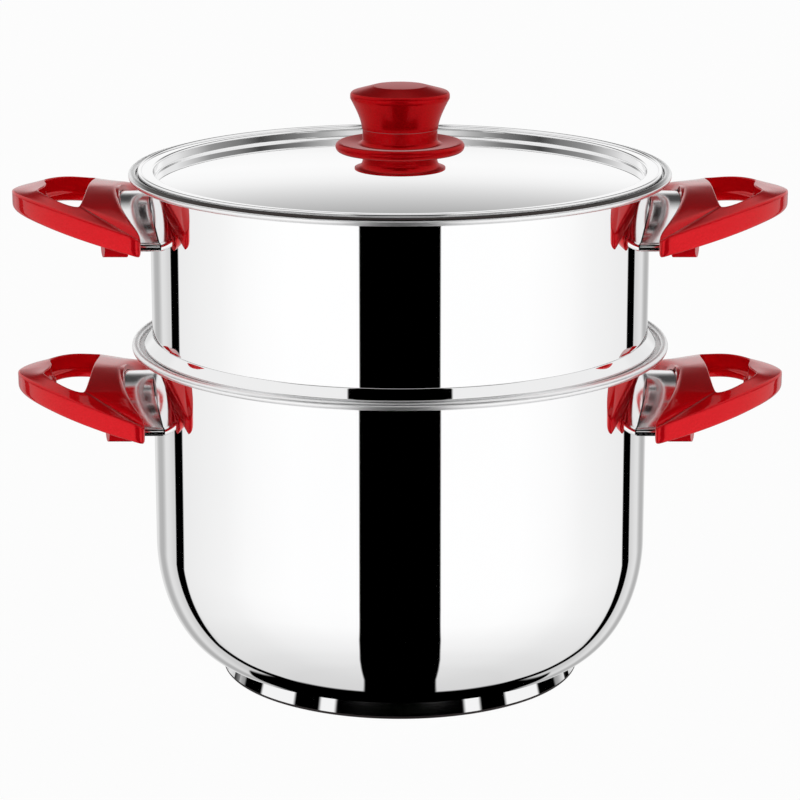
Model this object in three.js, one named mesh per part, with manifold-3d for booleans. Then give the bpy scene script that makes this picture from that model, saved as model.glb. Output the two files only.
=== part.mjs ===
// A two-tier couscoussier: a steel stock pot, a steamer that sits on its rim, and a lid.
// Millimetres, +Z up. The origin is on the table under the pot's axis, and the handles lie along X.

import * as THREE from 'three';
import Module from 'manifold-3d';
import { mergeGeometries, mergeVertices } from 'three/addons/utils/BufferGeometryUtils.js';
import { LoftGeometry } from 'three/addons/geometries/LoftGeometry.js';

const wasm = await Module();
wasm.setup();

// Driving dimensions: all pieces

const sheet = 0.8; // steel sheet of the pot, the steamer, the lid and the base cap
const clearance = 0.3; // between pieces that rest on, are welded to or are screwed to each other
const wallRadius = 121; // outside of the pot's and the steamer's walls
const wallSides = 36; // facets around the pot, the steamer, the lid and the base
const knobSides = 24; // facets around the knob
const screwSides = 10; // facets around screws, bores and other small round pieces
const filletSteps = 2; // facets across each small fillet
const rollSteps = 7; // facets around each rolled edge
const mergeDistance = 1e-4; // vertices nearer than this are one vertex

// Driving dimensions: rolled rim of the pot and of the steamer

const rimReach = 10; // from the wall to the rim's outermost point
const rimRound = 2; // radius of the rolled edge
const rimFillet = 4.2; // bend from the wall to the flange

// Driving dimensions: pot and base

const potHeight = 166.3; // from the table to the top of the pot's rim
const potCornerReach = 37; // bottom corner, measured inwards from the wall
const potCornerRise = 58; // bottom corner, measured up from the bottom
const potCornerSteps = 7; // facets across the bottom corner
const capHeight = 7.9; // base cap, from the table to its upper edge
const capRadius = 89;
const capFillet = 0.9;
const capTaper = 2; // how far the cap's side leans in from the table to its upper edge

// Driving dimensions: steamer

const steamerHeight = 85.4; // from its seat on the pot's rim to the top of its own rim
const shoulderHeight = 5.4; // swaged shoulder that carries the steamer
const shoulderLip = 1; // upright edge at the foot of the shoulder
const shoulderGap = 1.8; // between the shoulder and the pot's rolled edge
const shoulderFillet = 0.8;
const spigotGap = 1; // between the spigot and the inside of the pot
const spigotDepth = 18; // how far the spigot reaches below the seat
const spigotFillet = 8; // bend from the spigot to the perforated bottom
const steamHoleRadius = 3;
const steamHolePitch = 25; // from ring to ring of steam holes
const steamHoleRings = 4;
const steamHolesInRing = 6; // in the first ring, and so many more in each next ring
const steamHoleSides = 6; // facets around each steam hole

// Driving dimensions: lid

const lidGap = 0.4; // between the lid's edge and the steamer's rolled edge
const lidRound = 1.15; // radius of the lid's rolled edge
const lidRimWidth = 7; // from the edge to the step down into the gutter
const lidStepRun = 0.2; // how far the step leans inwards
const lidStepFillet = 0.3; // bend at the top of the step
const gutterFillet = 1.8; // bend at the foot of the step
const gutterDepth = 5;
const domeRise = 3.7; // from the gutter to the middle of the dome
const domeSteps = 5; // facets from the middle of the dome to the gutter

// Driving dimensions: knob and its screw, heights measured from the knob's foot

const footRadius = 22;
const footEdge = 0.8; // upright edge of the foot
const footFlare = 4; // height over which the neck spreads into the foot
const neckRadius = 18.1;
const saucerRadius = 31.2;
const saucerUnderside = 8.6;
const saucerThickness = 5;
const saucerDish = 1.6; // how far the saucer's upper side dips towards the neck
const seamHeight = 19.7; // joint between the knob's two halves
const waistRadius = 18.5;
const crownRadius = 24; // widest part of the cap
const crownEdge = 34.5; // height at which the cap reaches its widest part
const crownRound = 2.8; // height of the cap's rounded rim
const flankPull = 0.3; // share of the flank's height over which the cap stays narrow
const flankSteps = 5; // facets up the cap's flank and along the foot's flare
const crownFlatRadius = 13;
const crownFlatDrop = 0.4; // fall of the cap's top from its middle to the rim of the flat
const knobHeight = 40.8;
const insertRadius = 4;
const insertTop = 31;
const knobScrewRadius = 2;
const knobScrewTop = 20;
const knobHeadRadius = 4;
const knobHeadHeight = 2.4;
const washerRadius = 6;
const washerThickness = 0.8;

// Driving dimensions: handles, heights measured from the crown of the bracket

const steamerHandleDrop = 12.4; // from the steamer's rim down to the bracket's crown
const potHandleDrop = 18.6; // from the pot's rim down to the bracket's crown
const bracketSheet = 2;
const bracketArch = 58; // radius of the bracket's upper side
const bracketHalf = 42; // from the middle of the bracket to the end of its arch
const bracketSteps = 10; // facets along the bracket's arch
const bracketHem = 2.1; // radius of the rolled hems along the bracket's lower edges
const bracketTongue = 7.2; // how far the bracket reaches into the grip
const sleeveWall = 2.4; // plastic around the bracket inside the grip
const sleeveLength = 10.7; // from the grip's pot side to the sleeve's outer end
const gripGap = 14.8; // from the pot's wall to the middle of the grip's pot side
const legReach = 18.5; // how far the grip's legs reach back towards the pot, before their tips are rounded
const gripTipHalf = 62; // half of the width between the tips of the grip's legs
const bridgeWidth = 15; // from the grip's pot side to the finger hole
const heelRun = 2; // from the hole's pot side to where the hole is widest
const holeTaper = 24.2; // from there to the hole's outer end
const noseWidth = 11; // from the hole's outer end to the nose of the grip
const noseBulge = 5.4; // how far the nose bulges back into the hole
const noseBulgeHalf = 16; // half of the bulge's width
const holeHalf = 38.5; // half of the finger hole's greatest width
const taperPower = 1.58; // roundness of the grip's and the hole's outer ends
const heelPower = 4; // roundness of the hole's pot side
const ridgeNose = 3.9; // height of the hole's rim at the nose
const ridgeArm = 0.4; // height of the hole's rim where the hole is widest
const ridgeHeel = 4.3; // height of the hole's rim in the middle of its pot side
const ridgeNosePower = 4; // how late the rim falls, from the nose to where the hole is widest
const ridgeHeelPower = 1.5; // the same, from the middle of the hole's pot side
const wallInHole = 11.6; // depth of the hole's wall
const lipReach = 2.2; // ledge around the foot of the hole's wall
const lipHeight = 3;
const bandNose = 1.6; // height of the outer band's upper edge at the nose
const legDroop = 13.8; // fall of the band from the nose to the tips of the legs
const droopPower = 1.6;
const bandHeight = 8.5; // outer band at the nose and at the tips
const bandSwell = 2.2; // extra height of the band in the middle of each arm
const bridgeCrown = 3; // top of the grip's pot side, over the bracket
const gripEdge = 1.4; // small bevels along the grip's edges
const gripSections = 40; // cross-sections around the grip's loop
const gripTipTurn = (5 * Math.PI) / 8; // angle around the loop, from the nose to the tip of a leg
const tipSpan = 0.24; // angle around the loop over which a tip is rounded, on each side of it
const gripScrewRadius = 2;
const gripScrewTop = 0.9;
const gripHeadRadius = 3.6;
const gripHeadHeight = 2.4;
const gripScrewInset = 3.5; // from the grip's pot side to the screw

// Materials

const polishedSteel = { color: 0xd9dadb, roughness: 0.08, metalness: 1 };
const redLacquer = { color: 0xb3121a, roughness: 0.2, metalness: 0.25 };
const bareAluminium = { color: 0xbfc2c4, roughness: 0.45, metalness: 1 };
const brass = { color: 0xb8923f, roughness: 0.35, metalness: 1 };
const zincSteel = { color: 0xa9abad, roughness: 0.35, metalness: 1 };

// Heights that follow from the driving dimensions

const potBottom = capHeight + clearance;
const potFlangeTop = potHeight - rimRound + sheet / 2;
const seatHeight = potFlangeTop + clearance;
const steamerTop = seatHeight + steamerHeight;
const steamerFlangeTop = steamerTop - rimRound + sheet / 2;
const lidEdgeHeight = steamerFlangeTop + clearance + lidRound;
const lidRimUnderside = lidEdgeHeight - sheet / 2;
const gutterUnderside = lidRimUnderside - gutterDepth;
const domeUnderside = gutterUnderside + domeRise;
const footHeight = domeUnderside + sheet + clearance;

// Places along a handle, from the pot's axis

const gripNear = wallRadius + gripGap;
const gripTipPlace = gripNear - legReach;
const gripScrewPlace = gripNear + gripScrewInset;
const bracketEnd = gripNear + bracketTongue;
const sleeveEnd = gripNear + sleeveLength;
const holeNear = gripNear + bridgeWidth;
const holeWide = holeNear + heelRun;
const holeFar = holeWide + holeTaper;
const gripReach = holeFar + noseWidth;

// Thickness of the grip over the bracket, with a level underside
const bridgeDepth = bridgeCrown - ridgeHeel + wallInHole;

// Profiles in (radius, height)

function point(radius, height) {
  return new THREE.Vector2(radius, height);
}

// Points on a circle from one angle to another
function arc(centre, radius, from, to, steps) {
  const points = [];
  for (let i = 0; i <= steps; i++) {
    const angle = from + ((to - from) * i) / steps;
    points.push(point(centre.x + radius * Math.cos(angle), centre.y + radius * Math.sin(angle)));
  }
  return points;
}

// Points that follow straight lines between corners [radius, height, fillet], with the corners rounded
function filletPath(corners) {
  const points = [];
  corners.forEach(([x, y, fillet], i) => {
    const corner = point(x, y);
    if (!fillet) {
      points.push(corner);
      return;
    }
    const before = point(corners[i - 1][0], corners[i - 1][1]).sub(corner);
    const after = point(corners[i + 1][0], corners[i + 1][1]).sub(corner);
    const half = Math.acos(before.dot(after) / (before.length() * after.length())) / 2;
    const longest = 0.5 * Math.min(before.length(), after.length());
    const setback = Math.min(fillet / Math.tan(half), longest);
    const start = corner.clone().addScaledVector(before.normalize(), setback);
    const end = corner.clone().addScaledVector(after.normalize(), setback);
    points.push(...new THREE.QuadraticBezierCurve(start, corner, end).getPoints(filletSteps));
  });
  return points;
}

// The path moved sideways, to its left, by the sheet's thickness
function offsetPath(path, distance) {
  return path.map((here, i) => {
    const before = path[Math.max(i - 1, 0)];
    const after = path[Math.min(i + 1, path.length - 1)];
    const into = here.clone().sub(before).normalize();
    const out = after.clone().sub(here).normalize();
    const along = into.clone().add(out).normalize();
    const normal = point(-along.y, along.x);
    const straight = i === 0 ? out : into;
    const stretch = normal.dot(point(-straight.y, straight.x));
    return here.clone().addScaledVector(normal, distance / stretch);
  });
}

// Outline of a sheet that ends in a rolled edge: under side, roll, upper side
function rolledSheet(underside, centre, rollRadius) {
  const dip = Math.asin(sheet / 2 / rollRadius);
  const roll = arc(centre, rollRadius, dip - Math.PI, Math.PI - dip, rollSteps);
  return [...underside, ...roll, ...offsetPath(underside, sheet).reverse()];
}

// Wall, bend and flange of a rim whose top is at the given height
function rimCorners(top) {
  const flange = top - rimRound - sheet / 2;
  const flangeEnd = wallRadius + rimReach - 2 * rimRound - sheet;
  return [
    [wallRadius, flange, rimFillet],
    [flangeEnd, flange],
  ];
}

function rollCentre(top) {
  return point(wallRadius + rimReach - rimRound, top - rimRound);
}

// Solids

function latheAboutZ(profile, sides, closed = false) {
  const loop = closed ? [...profile, profile[0]] : profile;
  const geometry = new THREE.LatheGeometry(loop, sides);
  geometry.rotateX(Math.PI / 2);
  return geometry;
}

function tidy(geometry) {
  const bare = geometry.index ? geometry : mergeVertices(geometry);
  bare.deleteAttribute('normal');
  bare.deleteAttribute('uv');
  return mergeVertices(bare, mergeDistance);
}

function volume(geometry) {
  const position = geometry.attributes.position;
  const index = geometry.index.array;
  const corners = [new THREE.Vector3(), new THREE.Vector3(), new THREE.Vector3()];
  let total = 0;
  for (let i = 0; i < index.length; i += 3) {
    corners.forEach((corner, k) => corner.fromBufferAttribute(position, index[i + k]));
    total += corners[0].dot(corners[1].clone().cross(corners[2])) / 6;
  }
  return total;
}

// Faces that lost their area when vertices were merged are dropped, and all faces are turned outwards
function outward(geometry) {
  const merged = tidy(geometry);
  const index = merged.index.array;
  const kept = [];
  const turned = volume(merged) < 0;
  for (let i = 0; i < index.length; i += 3) {
    const [a, b, c] = [index[i], index[i + 1], index[i + 2]];
    if (a !== b && b !== c && c !== a) {
      kept.push(a, turned ? c : b, turned ? b : c);
    }
  }
  merged.setIndex(kept);
  return merged;
}

function toSolid(geometry) {
  const closed = outward(geometry);
  const vertProperties = new Float32Array(closed.attributes.position.array);
  const triVerts = new Uint32Array(closed.index.array);
  return new wasm.Manifold(new wasm.Mesh({ numProp: 3, vertProperties, triVerts }));
}

function toGeometry(solid) {
  const mesh = solid.getMesh();
  const geometry = new THREE.BufferGeometry();
  geometry.setAttribute('position', new THREE.BufferAttribute(new Float32Array(mesh.vertProperties), 3));
  geometry.setIndex(new THREE.BufferAttribute(new Uint32Array(mesh.triVerts), 1));
  return geometry;
}

// A cylinder about a line parallel to Z
function post(radius, bottom, top, x, y, sides) {
  const geometry = new THREE.CylinderGeometry(radius, radius, top - bottom, sides);
  geometry.rotateX(Math.PI / 2);
  geometry.translate(x, y, (bottom + top) / 2);
  return geometry;
}

// A pan-head screw whose head is below its shank
function screw(shankRadius, shankTop, headRadius, headTop, headHeight) {
  const profile = filletPath([
    [0, headTop - headHeight],
    [headRadius, headTop - headHeight, headHeight / 2],
    [headRadius, headTop],
    [shankRadius, headTop],
    [shankRadius, shankTop],
    [0, shankTop],
  ]);
  return outward(latheAboutZ(profile, screwSides));
}

function mesh(name, geometry, look) {
  const shaded = geometry.clone();
  shaded.computeVertexNormals();
  const piece = new THREE.Mesh(shaded, new THREE.MeshStandardMaterial(look));
  piece.name = name;
  return piece;
}

// Pot and base

function potBody() {
  const cornerCentre = point(wallRadius - potCornerReach, potBottom + potCornerRise);
  const corner = arc(point(0, 0), 1, -Math.PI / 2, 0, potCornerSteps).map((unit) =>
    point(cornerCentre.x + potCornerReach * unit.x, cornerCentre.y + potCornerRise * unit.y)
  );
  const last = corner[corner.length - 1];
  const rim = filletPath([[last.x, last.y], ...rimCorners(potHeight)]).slice(1);
  const underside = [point(0, potBottom), ...corner, ...rim];
  return outward(latheAboutZ(rolledSheet(underside, rollCentre(potHeight), rimRound), wallSides));
}

function baseCap() {
  const outside = filletPath([
    [0, 0],
    [capRadius, 0, capFillet],
    [capRadius - capTaper, capHeight],
  ]);
  return outward(latheAboutZ([...outside, ...offsetPath(outside, sheet).reverse()], wallSides));
}

// The core follows the inside of the cap, a clearance away from it
function baseCore() {
  const lean = capTaper / capHeight;
  const foot = capRadius - (sheet + clearance) * Math.hypot(1, lean);
  const bottom = sheet + clearance;
  const fillet = Math.min(capFillet, (capHeight - bottom) / 2);
  const outside = filletPath([
    [0, bottom],
    [foot - lean * bottom, bottom, fillet],
    [foot - capTaper, capHeight],
    [0, capHeight],
  ]);
  return outward(latheAboutZ(outside, wallSides));
}

// Steamer

function steamerBody() {
  const spigotRadius = wallRadius - sheet - spigotGap;
  const spigotBottom = seatHeight - spigotDepth;
  const shoulderRadius = wallRadius + rimReach - 2 * rimRound - shoulderGap;
  const underside = filletPath([
    [0, spigotBottom],
    [spigotRadius, spigotBottom, spigotFillet],
    [spigotRadius, seatHeight, shoulderFillet],
    [shoulderRadius, seatHeight, shoulderFillet],
    [shoulderRadius, seatHeight + shoulderLip, shoulderFillet],
    [wallRadius, seatHeight + shoulderHeight, shoulderFillet],
    ...rimCorners(steamerTop),
  ]);
  const shell = latheAboutZ(rolledSheet(underside, rollCentre(steamerTop), rimRound), wallSides);
  const holes = [];
  const holeBottom = spigotBottom - sheet;
  const holeTop = spigotBottom + 2 * sheet;
  for (let ringNumber = 0; ringNumber <= steamHoleRings; ringNumber++) {
    const count = Math.max(1, steamHolesInRing * ringNumber);
    for (let i = 0; i < count; i++) {
      const angle = (2 * Math.PI * i) / count;
      const x = ringNumber * steamHolePitch * Math.cos(angle);
      const y = ringNumber * steamHolePitch * Math.sin(angle);
      holes.push(tidy(post(steamHoleRadius, holeBottom, holeTop, x, y, steamHoleSides)));
    }
  }
  return toGeometry(toSolid(shell).subtract(toSolid(mergeGeometries(holes))));
}

// Lid

function lidShell() {
  const lidRadius = wallRadius + rimReach - 2 * rimRound - lidGap;
  const stepTop = lidRadius - lidRimWidth;
  const gutterRadius = stepTop - lidStepRun;
  const boreRadius = knobScrewRadius + clearance;
  const domeRadius = (gutterRadius ** 2 + domeRise ** 2) / (2 * domeRise);
  const dome = [];
  for (let i = 0; i < domeSteps; i++) {
    const radius = boreRadius + ((gutterRadius - boreRadius) * i) / domeSteps;
    dome.push(point(radius, domeUnderside - domeRadius + Math.sqrt(domeRadius ** 2 - radius ** 2)));
  }
  const last = dome[dome.length - 1];
  const step = filletPath([
    [last.x, last.y],
    [gutterRadius, gutterUnderside, gutterFillet],
    [stepTop, lidRimUnderside, lidStepFillet],
    [lidRadius - 2 * lidRound - sheet, lidRimUnderside],
  ]).slice(1);
  const centre = point(lidRadius - lidRound, lidEdgeHeight);
  return outward(latheAboutZ(rolledSheet([...dome, ...step], centre, lidRound), wallSides, true));
}

// Knob, with heights from its foot

function knobBase() {
  const bore = insertRadius + clearance;
  const saucerTop = saucerUnderside + saucerThickness;
  const rim = saucerThickness / 2;
  const flareStart = point(footRadius, footEdge);
  const flarePull = point(neckRadius, 2 * footEdge);
  const flareEnd = point(neckRadius, footEdge + footFlare);
  const flare = new THREE.QuadraticBezierCurve(flareStart, flarePull, flareEnd).getPoints(flankSteps);
  const upper = filletPath([
    [flareEnd.x, flareEnd.y],
    [neckRadius, saucerUnderside, rim],
    [saucerRadius, saucerUnderside, rim],
    [saucerRadius, saucerTop, rim],
    [neckRadius, saucerTop - saucerDish, rim],
    [neckRadius, seamHeight],
    [bore, seamHeight],
  ]).slice(1);
  const profile = [point(bore, 0), point(footRadius, 0), ...flare, ...upper];
  return outward(latheAboutZ(profile, knobSides, true));
}

function knobCap() {
  const bore = insertRadius + clearance;
  const bottom = seamHeight + clearance;
  const waist = point(waistRadius, bottom);
  const waistPull = point(waistRadius, bottom + flankPull * (crownEdge - bottom));
  const widest = point(crownRadius, crownEdge);
  const flank = new THREE.QuadraticBezierCurve(waist, waistPull, widest).getPoints(flankSteps);
  const crown = filletPath([
    [crownRadius, crownEdge],
    [crownRadius, crownEdge + crownRound, crownRound],
    [crownFlatRadius, knobHeight - crownFlatDrop],
    [0, knobHeight],
  ]).slice(1);
  const profile = [
    point(0, insertTop + clearance),
    point(bore, insertTop + clearance),
    point(bore, bottom),
    ...flank,
    ...crown,
  ];
  return outward(latheAboutZ(profile, knobSides));
}

function ring(inner, outer, bottom, top) {
  const profile = [point(inner, bottom), point(outer, bottom), point(outer, top), point(inner, top)];
  return outward(latheAboutZ(profile, screwSides, true));
}

// Handle pieces, in a frame with X outwards from the pot's axis and heights from the bracket's crown

const bracketSpread = Math.asin(bracketHalf / bracketArch);

// Long solid that follows the bracket's arch and hems, grown by a margin
function archSolid(margin) {
  const centre = point(0, -bracketArch);
  const start = Math.PI / 2 - bracketSpread;
  const end = Math.PI / 2 + bracketSpread;
  const upper = arc(centre, bracketArch + margin, start, end, bracketSteps);
  const lower = arc(centre, bracketArch - bracketSheet - margin, end, start, bracketSteps);
  const from = wallRadius / 2;
  const options = { depth: sleeveEnd, bevelEnabled: false };
  const outwards = new THREE.Matrix4().makeBasis(
    new THREE.Vector3(0, 1, 0),
    new THREE.Vector3(0, 0, 1),
    new THREE.Vector3(1, 0, 0)
  );
  const extrude = (outline) => {
    const geometry = new THREE.ExtrudeGeometry(new THREE.Shape(outline), options);
    geometry.applyMatrix4(outwards);
    geometry.translate(from, 0, 0);
    return toSolid(geometry);
  };
  const hemRadius = bracketArch - bracketSheet / 2;
  let solid = extrude([...upper, ...lower]);
  for (const side of [-1, 1]) {
    const angle = Math.PI / 2 + side * bracketSpread;
    const hemCentre = point(hemRadius * Math.cos(angle), hemRadius * Math.sin(angle) - bracketArch);
    solid = solid.add(extrude(arc(hemCentre, bracketHem + margin, 0, 2 * Math.PI, screwSides).slice(1)));
  }
  return solid;
}

// A tall cylinder about the pot's axis, to trim what meets the wall
function drum(radius) {
  const tall = 4 * bracketArch;
  return toSolid(post(radius, -tall, tall, 0, 0, wallSides));
}

function bracket() {
  const bore = post(gripScrewRadius + clearance, -bracketArch, bracketArch, gripScrewPlace, 0, screwSides);
  const arch = archSolid(0).intersect(drum(bracketEnd)).subtract(drum(wallRadius + clearance));
  return toGeometry(arch.subtract(toSolid(bore)));
}

// Plan of the grip's outer edge: one curve from the nose to the tip of a leg, then the pot side
function outerEdge(turn) {
  if (turn <= gripTipTurn) {
    const sweep = ((turn / gripTipTurn) * Math.PI) / 2;
    return point(
      gripTipPlace + (gripReach - gripTipPlace) * Math.cos(sweep) ** (2 / taperPower),
      gripTipHalf * Math.sin(sweep) ** (2 / taperPower)
    );
  }
  const across = (gripTipHalf * (Math.PI - turn)) / (Math.PI - gripTipTurn);
  return point(gripNear - legReach * (across / gripTipHalf) ** 2, across);
}

// The same edge with the tips of the legs rounded off
function roundedEdge(turn) {
  const pastTip = turn - gripTipTurn;
  if (Math.abs(pastTip) >= tipSpan) {
    return outerEdge(turn);
  }
  const curve = new THREE.QuadraticBezierCurve(
    outerEdge(gripTipTurn - tipSpan),
    outerEdge(gripTipTurn),
    outerEdge(gripTipTurn + tipSpan)
  );
  return curve.getPoint((pastTip + tipSpan) / (2 * tipSpan));
}

// Cross-section of the grip at an angle around its loop: 0 at the nose, half a turn at the pot side
function gripSection(angle) {
  const side = angle > Math.PI ? -1 : 1;
  const turn = angle > Math.PI ? 2 * Math.PI - angle : angle;
  const towardsNose = turn <= Math.PI / 2;
  const beforeTip = turn <= gripTipTurn;

  // Plan of the finger hole
  const roundness = 2 / (towardsNose ? taperPower : heelPower);
  const run = towardsNose ? holeTaper : -heelRun;
  const hole = point(
    holeWide + run * Math.abs(Math.cos(turn)) ** roundness,
    holeHalf * Math.abs(Math.sin(turn)) ** roundness
  );
  if (towardsNose && hole.y < noseBulgeHalf) {
    hole.x -= noseBulge * (1 - (hole.y / noseBulgeHalf) ** 2) ** 2;
  }

  // Heights of the hole's rim and of the outer band
  const edge = outerEdge(turn);
  const ridgeEnd = towardsNose ? ridgeNose : ridgeHeel;
  const ridgePower = towardsNose ? ridgeNosePower : ridgeHeelPower;
  const ridge = ridgeEnd + (ridgeArm - ridgeEnd) * (hole.y / holeHalf) ** ridgePower;
  const droop = legDroop * ((gripReach - edge.x) / (gripReach - gripTipPlace)) ** droopPower;
  let bandTop = bandNose - droop;
  let bandFoot = bandTop - bandHeight - bandSwell * Math.sin(Math.min(turn / gripTipTurn, 1) * Math.PI);
  if (!beforeTip) {
    const spread = (edge.y / gripTipHalf) ** 2;
    bandTop = bridgeCrown + (bandNose - legDroop - bridgeCrown) * spread;
    bandFoot = bandTop - bridgeDepth - (bandHeight - bridgeDepth) * spread;
  }
  const holeFoot = ridge - wallInHole;

  // The section runs over the top from the hole to the outer edge and back underneath
  const across = roundedEdge(turn).sub(hole);
  const width = across.length();
  across.divideScalar(width);
  const outline = [
    [0, ridge - gripEdge],
    [gripEdge, ridge],
    [width - gripEdge, bandTop],
    [width, bandTop - gripEdge / 2],
    [width, bandFoot + gripEdge],
    [width - gripEdge, bandFoot],
    [gripEdge - lipReach, holeFoot],
    [-lipReach, holeFoot + gripEdge],
    [-lipReach, holeFoot + lipHeight - gripEdge / 2],
    [0, holeFoot + lipHeight + gripEdge / 2],
  ];
  return outline.map(([reach, height]) => {
    const place = hole.clone().addScaledVector(across, reach);
    return new THREE.Vector3(place.x, side * place.y, height);
  });
}

function grip() {
  const sections = [];
  for (let i = 0; i <= gripSections; i++) {
    sections.push(gripSection(((i % gripSections) * 2 * Math.PI) / gripSections));
  }
  const loop = toSolid(new THREE.BufferGeometry().copy(new LoftGeometry(sections)));
  const sleeve = archSolid(clearance + sleeveWall).intersect(drum(sleeveEnd)).subtract(drum(gripNear));
  const socket = archSolid(clearance).intersect(drum(bracketEnd + clearance));
  const bore = post(
    gripScrewRadius + clearance,
    -bracketArch,
    gripScrewTop + clearance,
    gripScrewPlace,
    0,
    screwSides
  );
  return toGeometry(loop.add(sleeve).subtract(socket).subtract(toSolid(bore)));
}

function gripScrew() {
  const headTop = bridgeCrown - bridgeDepth - clearance;
  return screw(gripScrewRadius, gripScrewTop, gripHeadRadius, headTop, gripHeadHeight);
}

// Assembly

const couscoussier = new THREE.Group();
const steamer = new THREE.Group();
const lid = new THREE.Group();
const knob = new THREE.Group();
knob.position.z = footHeight;
couscoussier.add(steamer);
steamer.add(lid);
lid.add(knob);

couscoussier.add(
  mesh('pot_body', potBody(), polishedSteel),
  mesh('base_core', baseCore(), bareAluminium),
  mesh('base_cap', baseCap(), polishedSteel)
);
steamer.add(mesh('steamer_body', steamerBody(), polishedSteel));
lid.add(mesh('lid_shell', lidShell(), polishedSteel));

const washerTop = -2 * clearance - sheet;
const headTop = washerTop - washerThickness - clearance;
knob.add(
  mesh('knob_base', knobBase(), redLacquer),
  mesh('knob_cap', knobCap(), redLacquer),
  mesh('knob_insert', ring(knobScrewRadius + clearance, insertRadius, 0, insertTop), brass),
  mesh(
    'knob_washer',
    ring(knobScrewRadius + clearance, washerRadius, washerTop - washerThickness, washerTop),
    zincSteel
  ),
  mesh(
    'knob_screw',
    screw(knobScrewRadius, knobScrewTop, knobHeadRadius, headTop, knobHeadHeight),
    zincSteel
  )
);

const bracketShape = bracket();
const gripShape = grip();
const gripScrewShape = gripScrew();

function addHandle(owner, name, turn, crownHeight) {
  const handle = new THREE.Group();
  handle.position.z = crownHeight;
  handle.rotation.z = turn;
  const fixing = mesh(`${name}_screw`, gripScrewShape, zincSteel);
  fixing.position.x = gripScrewPlace;
  handle.add(
    mesh(`${name}_bracket`, bracketShape, polishedSteel),
    mesh(`${name}_grip`, gripShape, redLacquer),
    fixing
  );
  owner.add(handle);
}

addHandle(couscoussier, 'pot_right', 0, potHeight - potHandleDrop);
addHandle(couscoussier, 'pot_left', Math.PI, potHeight - potHandleDrop);
addHandle(steamer, 'steamer_right', 0, steamerTop - steamerHandleDrop);
addHandle(steamer, 'steamer_left', Math.PI, steamerTop - steamerHandleDrop);

export default couscoussier;
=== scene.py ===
"""Looks of the couscoussier: smooth steel, red lacquered grips and knob, and a white studio around it."""

import math

import bmesh
import bpy
from mathutils import Matrix, Vector


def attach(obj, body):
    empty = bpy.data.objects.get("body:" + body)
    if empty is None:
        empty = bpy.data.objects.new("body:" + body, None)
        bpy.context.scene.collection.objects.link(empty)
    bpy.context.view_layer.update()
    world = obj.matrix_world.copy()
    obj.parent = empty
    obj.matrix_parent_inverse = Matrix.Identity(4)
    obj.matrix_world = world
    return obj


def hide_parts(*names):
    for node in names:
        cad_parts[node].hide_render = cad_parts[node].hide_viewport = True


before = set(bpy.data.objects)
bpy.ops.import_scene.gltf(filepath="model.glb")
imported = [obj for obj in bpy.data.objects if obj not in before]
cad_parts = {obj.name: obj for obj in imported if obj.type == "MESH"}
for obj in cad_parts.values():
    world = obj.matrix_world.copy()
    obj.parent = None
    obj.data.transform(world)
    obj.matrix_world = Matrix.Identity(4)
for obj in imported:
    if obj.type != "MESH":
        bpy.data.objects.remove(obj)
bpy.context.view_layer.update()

MM = 0.001

# Sizes in millimetres, as in the solids

SHEET = 0.8
CLEARANCE = 0.3
WALL_RADIUS = 121.0
RIM_REACH = 10.0
RIM_ROUND = 2.0
RIM_FILLET = 4.2

POT_HEIGHT = 166.3
CORNER_REACH = 37.0
CORNER_RISE = 58.0
CAP_HEIGHT = 7.9
CAP_RADIUS = 89.0
CAP_FILLET = 0.9
CAP_TAPER = 2.0

STEAMER_HEIGHT = 85.4
SHOULDER_HEIGHT = 5.4
SHOULDER_LIP = 1.0
SHOULDER_GAP = 1.8
SHOULDER_FILLET = 0.8
SPIGOT_GAP = 1.0
SPIGOT_DEPTH = 18.0
SPIGOT_FILLET = 8.0
HOLE_RADIUS = 3.0
HOLE_PITCH = 25.0
HOLE_RINGS = 4
HOLES_IN_RING = 6

LID_GAP = 0.4
LID_ROUND = 1.15
LID_RIM_WIDTH = 7.0
LID_STEP_RUN = 0.2
LID_STEP_FILLET = 0.3
GUTTER_FILLET = 1.8
GUTTER_DEPTH = 5.0
DOME_RISE = 3.7
LID_BORE = 2.3

FOOT_RADIUS = 22.0
FOOT_EDGE = 0.8
FOOT_FLARE = 4.0
NECK_RADIUS = 18.1
SAUCER_RADIUS = 31.2
SAUCER_UNDERSIDE = 8.6
SAUCER_THICKNESS = 5.0
SAUCER_DISH = 1.6
SEAM_HEIGHT = 19.7
WAIST_RADIUS = 18.5
CROWN_RADIUS = 24.0
CROWN_EDGE = 34.5
CROWN_ROUND = 2.8
CROWN_FLAT_RADIUS = 13.0
CROWN_FLAT_DROP = 0.4
FLANK_PULL = 0.3
KNOB_HEIGHT = 40.8
INSERT_RADIUS = 4.0
INSERT_TOP = 31.0

STEAMER_HANDLE_DROP = 12.4
POT_HANDLE_DROP = 18.6
BRACKET_SHEET = 2.0
BRACKET_ARCH = 58.0
BRACKET_HALF = 42.0
BRACKET_HEM = 2.1
BRACKET_TONGUE = 7.2
SLEEVE_WALL = 2.4
SLEEVE_LENGTH = 10.7
GRIP_GAP = 14.8
LEG_REACH = 18.5
GRIP_TIP_HALF = 62.0
BRIDGE_WIDTH = 15.0
HEEL_RUN = 2.0
HOLE_TAPER = 24.2
NOSE_WIDTH = 11.0
NOSE_BULGE = 5.4
NOSE_BULGE_HALF = 16.0
HOLE_HALF = 38.5
TAPER_POWER = 1.58
HEEL_POWER = 4.0
RIDGE_NOSE = 3.9
RIDGE_ARM = 0.4
RIDGE_HEEL = 4.3
RIDGE_NOSE_POWER = 4.0
RIDGE_HEEL_POWER = 1.5
WALL_IN_HOLE = 11.6
LIP_REACH = 2.2
LIP_HEIGHT = 3.0
BAND_NOSE = 1.6
LEG_DROOP = 13.8
DROOP_POWER = 1.6
BAND_HEIGHT = 8.5
BAND_SWELL = 2.2
BRIDGE_CROWN = 3.0
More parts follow.
